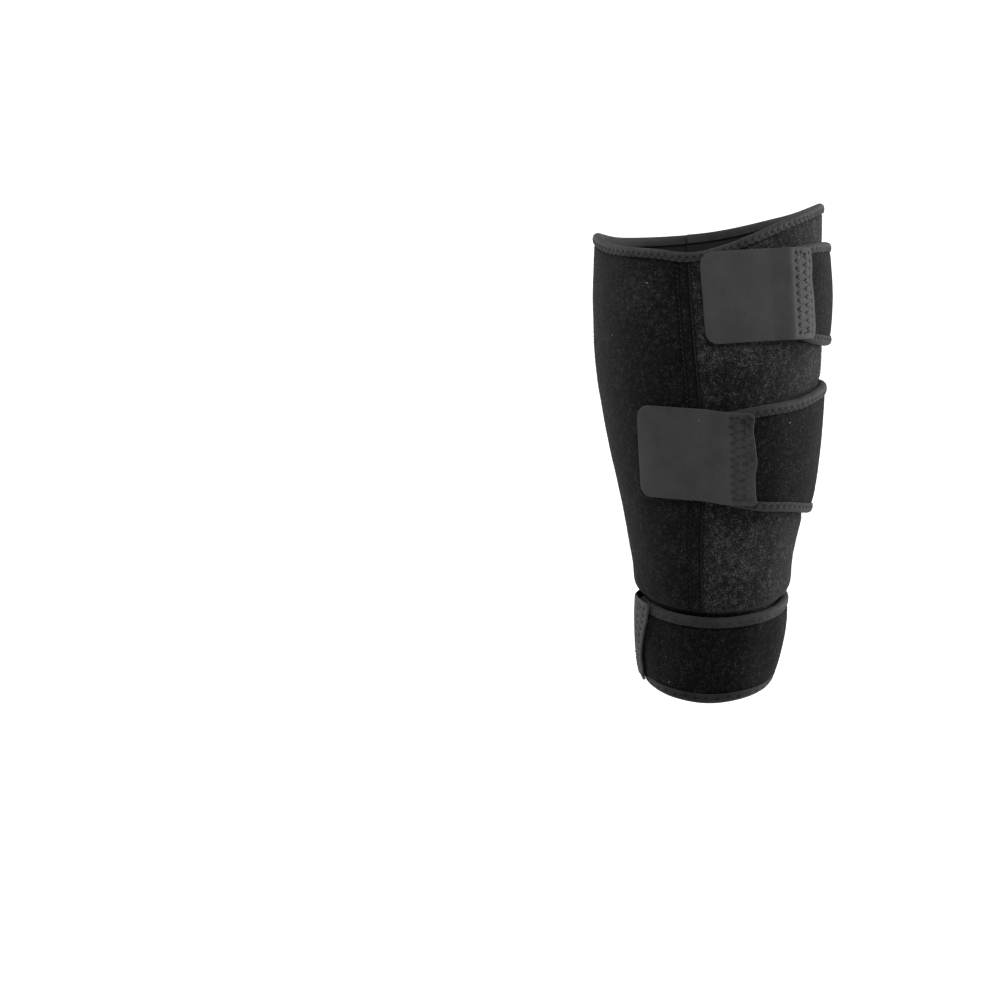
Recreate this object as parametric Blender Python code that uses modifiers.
"""Calf brace: a neoprene wrap closed round the lower leg by three straps with hook tabs.

The frame: +Z up the leg, the back of the leg towards -Y, the outer (lateral) side towards +X.
The origin is the centre of the leg at the fullest calf. Every piece is a flat pattern, a grid of
two shares (along, across), that is laid round the leg and given its wall by a Solidify modifier.
Angles are in degrees round the leg: 0 at the back, 90 at the lateral side, 180 at the shin and
-90 at the medial side. The wrap starts under the flap and ends on top of it, so its angles run
past a full turn. Lengths are in metres.
"""

from collections import namedtuple

import bmesh
import bpy
import numpy as np

# The leg inside the brace
CALF_WIDTH = 0.1214
CALF_DEPTH = 0.1200
ANKLE_WIDTH = 0.0652
ANKLE_DEPTH = 0.0700
ANKLE_FORWARD = 0.0145

# Walls and clearances
NEOPRENE = 0.0030
TAPE = 0.0006
HOOK_TAPE = 0.0014
GAP = 0.0003

# Binding tape folded over an edge
BINDING_WIDTH = 0.0055

# The wrap
BRACE_HEIGHT = 0.27675
TOP_HEIGHT = 0.0540
SCOOP_DEPTH = 0.0320
HEM_REVEAL = 0.0065
HEM_START = 10.0
HEM_FADE = 60.0
SEAM_WIDTH = 0.0065
WRAP_START = 188.0
FLAP_END = -210.0
RAMP_START = -105.0
RAMP_END = -167.0

# The straps
STRAP_WIDTH = 0.0480
STRAP_SETTLE = 15.0

# The hook tabs
TAB_LENGTH = 0.0645
TAB_HEIGHT = 0.0490
TAB_SEWN = 0.0135
TAB_CORNER = 0.0070
TAB_RAMP = 0.0110
TAB_CLEAR = 0.0015

# How deep the straps press the wrap into the leg, and over what height the dent fades
MIDDLE_PINCH = 0.0020
LOWER_PINCH = 0.0045
PINCH_MARGIN = 0.0012
PINCH_FADE = 0.0090
PINCH_SLACK = 40.0
PINCH_START = 30.0

# Fineness of the patterns
STEP_DEGREES = 7.5
PANEL_ROWS = 18
STRAP_ROWS = 3
ROOT_COLUMNS = 2
FLAP_ROW = 0.0035
TAB_COLUMNS = 18
CORNER_COLUMNS = 3
TAB_ROWS = 5

# Section: how far each side of the leg has swelled from ankle (0) to calf (1) at a share of the height
Section = namedtuple("Section", "height medial lateral back front")
LEG = [
    Section(0.00, -0.05, -0.02, 0.00, 0.00),
    Section(0.08, -0.02, 0.14, 0.04, 0.05),
    Section(0.16, 0.02, 0.29, 0.11, 0.14),
    Section(0.24, 0.12, 0.38, 0.23, 0.24),
    Section(0.32, 0.26, 0.50, 0.38, 0.38),
    Section(0.40, 0.40, 0.69, 0.54, 0.52),
    Section(0.50, 0.62, 0.82, 0.75, 0.67),
    Section(0.60, 0.84, 0.91, 0.91, 0.81),
    Section(0.70, 0.96, 0.98, 1.00, 0.91),
    Section(0.80, 1.00, 1.00, 1.01, 0.95),
    Section(0.92, 0.96, 0.99, 0.95, 0.90),
    Section(1.00, 0.92, 1.01, 0.86, 0.83),
]

# ScoopRow: how much of the scoop's depth the top edge has dropped at an angle
ScoopRow = namedtuple("ScoopRow", "angle drop")
TOP_EDGE = [
    ScoopRow(-225, 0.13),
    ScoopRow(-180, 0.38),
    ScoopRow(-135, 0.50),
    ScoopRow(-90, 0.53),
    ScoopRow(-60, 0.79),
    ScoopRow(-29, 0.93),
    ScoopRow(-12, 1.00),
    ScoopRow(7, 0.85),
    ScoopRow(23, 0.63),
    ScoopRow(42, 0.37),
    ScoopRow(61, 0.17),
    ScoopRow(76, 0.05),
    ScoopRow(95, 0.00),
    ScoopRow(135, 0.13),
    ScoopRow(180, 0.38),
    ScoopRow(200, 0.44),
]

# SeamRow: the angle of the back seam at a share of the wrap's height
SeamRow = namedtuple("SeamRow", "height angle")
BACK_SEAM = [
    SeamRow(0.00, -16.0),
    SeamRow(0.20, -16.5),
    SeamRow(0.45, -14.0),
    SeamRow(0.64, -11.5),
    SeamRow(0.82, -13.5),
    SeamRow(1.00, -16.0),
]

# StrapRow: how much of its climb and of its flare a strap has made at an angle
# Strap: level and climb are shares of BRACE_HEIGHT, both widths of STRAP_WIDTH, tab_tilt of TAB_HEIGHT
StrapRow = namedtuple("StrapRow", "angle climb flare")
Strap = namedtuple("Strap", "name level climb end_width root_width sewn_angle tab_tilt rows")
STRAPS = {
    "upper": Strap("upper", 0.8099, 0.0145, 1.000, 1.208, 51.5, 0.092, [
        StrapRow(40, 0.00, 0.00),
        StrapRow(54, 0.02, 0.58),
        StrapRow(69, 0.18, 0.86),
        StrapRow(90, 0.55, 0.90),
        StrapRow(152, 1.00, 1.00),
    ]),
    "middle": Strap("middle", 0.4876, 0.0343, 1.042, 1.646, 19.0, -0.102, [
        StrapRow(5, 0.00, 0.00),
        StrapRow(22, 0.05, 0.20),
        StrapRow(46, 0.22, 0.36),
        StrapRow(66, 0.47, 0.58),
        StrapRow(90, 0.75, 0.76),
        StrapRow(152, 1.00, 1.00),
    ]),
    "lower": Strap("lower", 0.0858, 0.0752, 0.990, 0.990, -67.0, 0.000, [
        StrapRow(-212, 1.00, 1.0),
        StrapRow(-170, 0.98, 1.0),
        StrapRow(-130, 0.87, 1.0),
        StrapRow(-90, 0.62, 1.0),
        StrapRow(-64, 0.36, 1.0),
        StrapRow(-35, 0.12, 1.0),
        StrapRow(0, 0.00, 1.0),
        StrapRow(35, 0.13, 1.0),
        StrapRow(54, 0.27, 1.0),
        StrapRow(87, 0.61, 1.0),
        StrapRow(120, 0.86, 1.0),
        StrapRow(152, 1.00, 1.0),
        StrapRow(200, 1.00, 1.0),
    ]),
}

# Layers, as distances out from the leg: the wrap, what lies on it, and the flap over its bindings
WALL_STANDOFF = NEOPRENE + TAPE + 2 * GAP
FLAP_LIFT = NEOPRENE + 2 * TAPE + 3 * GAP
TAB_ON_STRAP = WALL_STANDOFF + NEOPRENE + TAPE + 2 * GAP
EDGE_INSET = TAPE + GAP
ROOT = FLAP_END + 360
LOWEST = TOP_HEIGHT - BRACE_HEIGHT

# Material: colour (linear), roughness
FABRIC_BLACK = ("loop_fabric", (0.012, 0.012, 0.013), 0.95)
BINDING_GREY = ("binding_tape", (0.036, 0.036, 0.037), 0.75)
HOOK_GREY = ("hook_tape", (0.050, 0.050, 0.051), 0.70)


def smooth_row(rows, column, at):
    """A smooth curve through one column of a table, read at the table's first column."""
    known = np.array([row[0] for row in rows], float)
    values = np.array([getattr(row, column) for row in rows], float)
    slopes = np.gradient(values, known)
    at = np.clip(at, known[0], known[-1])
    i = np.clip(np.searchsorted(known, at) - 1, 0, len(known) - 2)
    span = known[i + 1] - known[i]
    t = (at - known[i]) / span
    return (
        (1 + 2 * t) * (1 - t) ** 2 * values[i]
        + t * (1 - t) ** 2 * span * slopes[i]
        + t * t * (3 - 2 * t) * values[i + 1]
        + t * t * (t - 1) * span * slopes[i + 1]
    )


def ease(t):
    """0 to 1 with level ends."""
    t = np.clip(t, 0, 1)
    return t * t * (3 - 2 * t)


def strap_centre(strap, angle):
    climbed = strap.climb * smooth_row(strap.rows, "climb", angle)
    return LOWEST + BRACE_HEIGHT * (strap.level + climbed)


def strap_width(strap, angle):
    grown = smooth_row(strap.rows, "flare", angle)
    return STRAP_WIDTH * (strap.end_width + (strap.root_width - strap.end_width) * grown)


def strap_edge(strap, angle, side):
    """Height of a strap's top (side 1) or bottom (side -1) edge."""
    return strap_centre(strap, angle) + side * strap_width(strap, angle) / 2


def pinch(angle, z):
    """How deep the middle and lower straps press the wrap in: less past their edges and at their roots."""
    lower, middle = STRAPS["lower"], STRAPS["middle"]
    turn = (angle - FLAP_END) % 360 + FLAP_END
    past_lower = z - strap_edge(lower, turn, 1) - PINCH_MARGIN
    past_middle = np.maximum(z - strap_edge(middle, turn, 1), strap_edge(middle, turn, -1) - z) - PINCH_MARGIN
    under_lower = ease(1 - past_lower / PINCH_FADE)
    under_middle = ease(1 - past_middle / PINCH_FADE) * ease((turn - middle.sewn_angle) / PINCH_START)
    from_root = np.abs((angle - FLAP_END + 180) % 360 - 180)
    return (LOWER_PINCH * under_lower + MIDDLE_PINCH * under_middle) * ease(from_root / PINCH_SLACK)


def skin(angle, z):
    """The point of the bare leg at an angle and height."""
    share = (z - LOWEST) / (TOP_HEIGHT - LOWEST)
    reach = {}
    for side, ankle, calf in (
        ("medial", ANKLE_WIDTH / 2, CALF_WIDTH / 2),
        ("lateral", ANKLE_WIDTH / 2, CALF_WIDTH / 2),
        ("back", ANKLE_DEPTH / 2 - ANKLE_FORWARD, CALF_DEPTH / 2),
        ("front", ANKLE_DEPTH / 2 + ANKLE_FORWARD, CALF_DEPTH / 2),
    ):
        reach[side] = ankle + (calf - ankle) * smooth_row(LEG, side, share)
    half_width = (reach["lateral"] + reach["medial"]) / 2
    half_depth = (reach["front"] + reach["back"]) / 2
    x = (reach["lateral"] - reach["medial"]) / 2 + half_width * np.sin(np.radians(angle))
    y = (reach["front"] - reach["back"]) / 2 - half_depth * np.cos(np.radians(angle))
    return np.stack([x, y, z + 0 * angle], axis=-1)


def around_leg(angle, z, out):
    """The point at an angle and height, moved out from the leg square to its skin."""
    round_way = skin(angle + 0.5, z) - skin(angle - 0.5, z)
    up_way = skin(angle, z + 0.001) - skin(angle, z - 0.001)
    normal = np.cross(round_way, up_way)
    normal /= np.linalg.norm(normal, axis=-1, keepdims=True)
    return skin(angle, z) + normal * np.asarray(out - pinch(angle, z))[..., None]


def girth_degrees(angle, z, length):
    """How many degrees round the leg a length along the wrap covers, near an angle."""
    z = z + 0.0 * np.asarray(angle)
    stride = around_leg(angle + 1.0, z, WALL_STANDOFF) - around_leg(angle - 1.0, z, WALL_STANDOFF)
    return 2 * length / np.linalg.norm(stride, axis=-1)


def angle_after(angle, z, length):
    """The angle reached by going a length round the leg, one degree at a time."""
    step = np.sign(length)
    left = abs(length)
    while True:
        pair = around_leg(np.array([angle, angle + step]), np.array([z, z]), WALL_STANDOFF)
        stride = np.linalg.norm(pair[1] - pair[0])
        if stride >= left:
            return angle + step * left / stride
        left -= stride
        angle += step


def wrap_lift(angle):
    """How far the wrap stands off the leg: 0, rising to the flap's lift over the wrap's start."""
    return FLAP_LIFT * ease((RAMP_START - angle) / (RAMP_START - RAMP_END))


def strap_lift(angle):
    """A strap leaves the flap at the flap's height, and settles onto the wrap."""
    return WALL_STANDOFF + (FLAP_LIFT - WALL_STANDOFF) * ease(1 - (ROOT - angle) / STRAP_SETTLE)


def top_edge(angle):
    return TOP_HEIGHT - SCOOP_DEPTH * smooth_row(TOP_EDGE, "drop", angle)


def bottom_edge(angle):
    """The wrap's bottom edge: above the lower strap's edge, and level with it on the flap."""
    reveal = HEM_REVEAL * ease((angle - FLAP_END - HEM_START) / HEM_FADE)
    return strap_edge(STRAPS["lower"], angle, -1) + reveal


def material(name, colour, roughness):
    found = bpy.data.materials.get(name)
    if found:
        return found
    made = bpy.data.materials.new(name)
    made.use_nodes = True
    shader = made.node_tree.nodes["Principled BSDF"]
    shader.inputs["Base Color"].default_value = (*colour, 1.0)
    shader.inputs["Roughness"].default_value = roughness
    shader.inputs["Metallic"].default_value = 0.0
    return made


def sewn_sheet(name, place, columns, rows, wall, finish):
    """A grid laid by place(along, across), with its wall grown on the side its faces point to."""
    grid = bmesh.new()
    bmesh.ops.create_grid(grid, x_segments=columns, y_segments=rows, size=0.5)
    shares = np.array([vert.co[:2] for vert in grid.verts]) + 0.5
    for vert, point in zip(grid.verts, place(shares[:, 0], shares[:, 1])):
        vert.co = point
    mesh = bpy.data.meshes.new(name)
    grid.to_mesh(mesh)
    grid.free()
    mesh.shade_smooth()
    mesh.materials.append(material(*finish))
    sheet = bpy.data.objects.new(name, mesh)
    brace.objects.link(sheet)
    solidify = sheet.modifiers.new("Wall", "SOLIDIFY")
    solidify.thickness = wall
    solidify.offset = 1.0
    solidify.use_even_offset = True
    return sheet


def steps_over(first, last):
    return max(2, round(abs(last - first) / STEP_DEGREES))


def fold_profile(across):
    """Where a folded tape lies: (share of the way from outer to inner leg, distance from the edge)."""
    stations = np.linspace(0, 1, 4)
    depth = np.interp(across, stations, [BINDING_WIDTH, TAPE, TAPE, BINDING_WIDTH])
    inward = np.interp(across, stations, [0, 0, 1, 1])
    return inward, depth


def folded_out(lift, inward):
    return lift + NEOPRENE + GAP - inward * (NEOPRENE + 2 * GAP)


def edge_binding(name, first, last, edge, lift, side):
    """Tape folded over an edge that runs round the leg; side is 1 for a top edge, -1 for a bottom one."""

    def place(along, across):
        angle = first + (last - first) * along
        inward, depth = fold_profile(across if side > 0 else 1 - across)
        return around_leg(angle, edge(angle) - side * depth, folded_out(lift(angle), inward))

    return sewn_sheet(name, place, steps_over(first, last), 3, TAPE, BINDING_GREY)


def flap_limit(inset, z):
    """The angle that lies a distance in from the flap's upright edge, at a height."""
    return FLAP_END + girth_degrees(FLAP_END, z, inset)


def flap_binding(name, low, high):
    """Tape folded over the flap's upright end, between two heights."""

    def place(along, across):
        z = low + (high - low) * along
        inward, depth = fold_profile(across)
        degrees = girth_degrees(FLAP_END, (low + high) / 2, 1.0)
        return around_leg(FLAP_END + degrees * depth, z, folded_out(FLAP_LIFT, inward))

    rows = max(2, round((high - low) / FLAP_ROW))
    return sewn_sheet(name, place, rows, 3, TAPE, BINDING_GREY)


def wrap_height(angle, across):
    """Height at a share of the wrap, with rows kept for the dents at the strap edges."""
    lower, middle = STRAPS["lower"], STRAPS["middle"]
    low, high = bottom_edge(angle) + EDGE_INSET, top_edge(angle) - EDGE_INSET
    levels = [
        (0, low),
        (3, strap_edge(lower, angle, 1) + PINCH_MARGIN),
        (5, strap_edge(lower, angle, 1) + PINCH_MARGIN + PINCH_FADE),
        (7, strap_edge(middle, angle, -1) - PINCH_MARGIN - PINCH_FADE),
        (8, strap_edge(middle, angle, -1) - PINCH_MARGIN),
        (11, strap_edge(middle, angle, 1) + PINCH_MARGIN),
        (12, strap_edge(middle, angle, 1) + PINCH_MARGIN + PINCH_FADE),
        (PANEL_ROWS, high),
    ]
    row = across * PANEL_ROWS
    height = low + 0 * row
    for (first, start), (last, end) in zip(levels, levels[1:]):
        height = np.where(row > first, start + (end - start) * (row - first) / (last - first), height)
    return height


def seam_line(across):
    """The seam's angle and height at a share of the wrap's rows."""
    middle = np.mean([row.angle for row in BACK_SEAM])
    z = wrap_height(middle + 0 * across, across)
    share = (z - bottom_edge(middle)) / (top_edge(middle) - bottom_edge(middle))
    return smooth_row(BACK_SEAM, "angle", share), z


def wrap_panel(name, side):
    """One side of the wrap, from the back seam to the wrap's start (side 1) or to the flap's end."""
    end = WRAP_START if side > 0 else FLAP_END

    def place(along, across):
        seam, z = seam_line(across)
        near = seam + side * girth_degrees(seam, z, SEAM_WIDTH / 2 + GAP)
        far = WRAP_START if side > 0 else flap_limit(EDGE_INSET, z)
        angle = near + (far - near) * (along if side > 0 else 1 - along)
        return around_leg(angle, wrap_height(angle, across), wrap_lift(angle))

    return sewn_sheet(name, place, steps_over(BACK_SEAM[0].angle, end), PANEL_ROWS, NEOPRENE, FABRIC_BLACK)


def back_seam():
    """The stitched band that joins the two panels down the back of the calf."""

    def place(along, across):
        seam, z = seam_line(across)
        angle = seam + girth_degrees(seam, z, SEAM_WIDTH) * (along - 0.5)
        return around_leg(angle, wrap_height(angle, across), 0.0)

    return sewn_sheet("back_seam", place, 1, PANEL_ROWS, NEOPRENE, FABRIC_BLACK)


def tab_angle(strap, from_tip, rise):
    """The angle of a point of the tab, by its distance from the tip and its rise above the tab's middle.

    The tab is a flat rectangle: it takes fewer degrees where the leg is wider, and each line across
    it stands square to the strap's slope there.
    """
    sewn = strap.sewn_angle
    centre = strap_centre(strap, sewn)
    tip = angle_after(sewn, centre, -TAB_LENGTH)
    middle = (sewn + tip) / 2
    degrees = girth_degrees(middle, centre, 1.0)
    spread = girth_degrees(middle, centre + rise, 1.0) / degrees
    level = middle + (from_tip / TAB_LENGTH - 0.5) * (sewn - tip)
    climb = strap_centre(strap, level - 1) - strap_centre(strap, level + 1)
    slope = climb * degrees / 2 - strap.tab_tilt * TAB_HEIGHT / TAB_LENGTH
    return middle + (level - middle) * spread + slope * rise * degrees


def strap_end(strap, rise):
    """The angle of the strap's own end, under the tab that is sewn over it."""
    return tab_angle(strap, TAB_LENGTH - TAB_SEWN, rise)


def strap_root(z):
    """The angle where a strap meets the flap's end, at a height."""
    return flap_limit(EDGE_INSET - GAP, z) + 360


def strap_band(strap):

    def place(along, across):
        end_height = STRAP_WIDTH * strap.end_width - 2 * EDGE_INSET
        root_height = strap_width(strap, ROOT) - 2 * EDGE_INSET
        first = strap_end(strap, end_height * (across - 0.5))
        root = strap_root(strap_centre(strap, ROOT) + root_height * (across - 0.5))
        angle = first + (root - first) * along
        height = strap_width(strap, angle) - 2 * EDGE_INSET
        z = strap_centre(strap, angle) + height * (across - 0.5)
        return around_leg(angle, z, strap_lift(angle))

    columns = steps_over(strap.sewn_angle, ROOT) + ROOT_COLUMNS
    return sewn_sheet(strap.name + "_strap", place, columns, STRAP_ROWS, NEOPRENE, FABRIC_BLACK)


def hook_tab(strap):
    """The hook tape sewn on a strap's end: it steps down off the strap and lies on the wrap."""
    ramp_top = TAB_LENGTH - TAB_SEWN - TAB_CLEAR
    ramp_foot = ramp_top - TAB_RAMP

    def place(along, across):
        column = along * TAB_COLUMNS
        turn = np.clip(column / CORNER_COLUMNS, 0, 1) * np.pi / 2
        columns = [CORNER_COLUMNS, 11, 15, TAB_COLUMNS]
        past_corner = np.interp(column, columns, [TAB_CORNER, ramp_foot, ramp_top, TAB_LENGTH])
        from_tip = np.where(column < CORNER_COLUMNS, TAB_CORNER * (1 - np.cos(turn)), past_corner)
        height = TAB_HEIGHT - 2 * TAB_CORNER * (1 - np.sin(turn))
        rise = height * (across - 0.5)
        angle = tab_angle(strap, from_tip, rise)
        tilt = strap.tab_tilt * TAB_HEIGHT * (1 - from_tip / TAB_LENGTH)
        z = strap_centre(strap, angle) - tilt + rise
        on_wrap = wrap_lift(angle) + WALL_STANDOFF
        out = on_wrap + (TAB_ON_STRAP - on_wrap) * ease((from_tip - ramp_foot) / TAB_RAMP)
        return around_leg(angle, z, out)

    return sewn_sheet(strap.name + "_hook_tab", place, TAB_COLUMNS, TAB_ROWS, HOOK_TAPE, HOOK_GREY)


for leftover in list(bpy.data.objects):
    bpy.data.objects.remove(leftover)
brace = bpy.data.collections.new("calf_brace")
bpy.context.scene.collection.children.link(brace)

wrap_panel("lateral_panel", 1)
wrap_panel("medial_panel", -1)
back_seam()
edge_binding("top_binding", FLAP_END, WRAP_START, top_edge, wrap_lift, 1)
HEM_END = flap_limit(EDGE_INSET, strap_edge(STRAPS["lower"], ROOT, -1))
edge_binding("bottom_binding", HEM_END, WRAP_START, bottom_edge, wrap_lift, -1)

for strap in STRAPS.values():
    strap_band(strap)
    tape_rises = STRAP_WIDTH * strap.end_width / 2 - np.array([0, BINDING_WIDTH])
    for side, word in ((1, "top"), (-1, "bottom")):
        edge_binding(
            f"{strap.name}_strap_{word}_binding",
            strap_end(strap, side * tape_rises).max(),
            strap_root(strap_edge(strap, ROOT, side)),
            lambda angle, strap=strap, side=side: strap_edge(strap, angle, side),
            strap_lift,
            side,
        )
    hook_tab(strap)

# The flap's upright end is bound between the straps
BETWEEN = GAP + TAPE
flap_binding(
    "flap_binding_high",
    strap_edge(STRAPS["upper"], ROOT, 1) + BETWEEN,
    top_edge(flap_limit(BINDING_WIDTH, TOP_HEIGHT)) - BINDING_WIDTH - BETWEEN,
)
flap_binding(
    "flap_binding_middle",
    strap_edge(STRAPS["middle"], ROOT, 1) + BETWEEN,
    strap_edge(STRAPS["upper"], ROOT, -1) - BETWEEN,
)
flap_binding(
    "flap_binding_low",
    strap_edge(STRAPS["lower"], ROOT, 1) + BETWEEN,
    strap_edge(STRAPS["middle"], ROOT, -1) - BETWEEN,
)
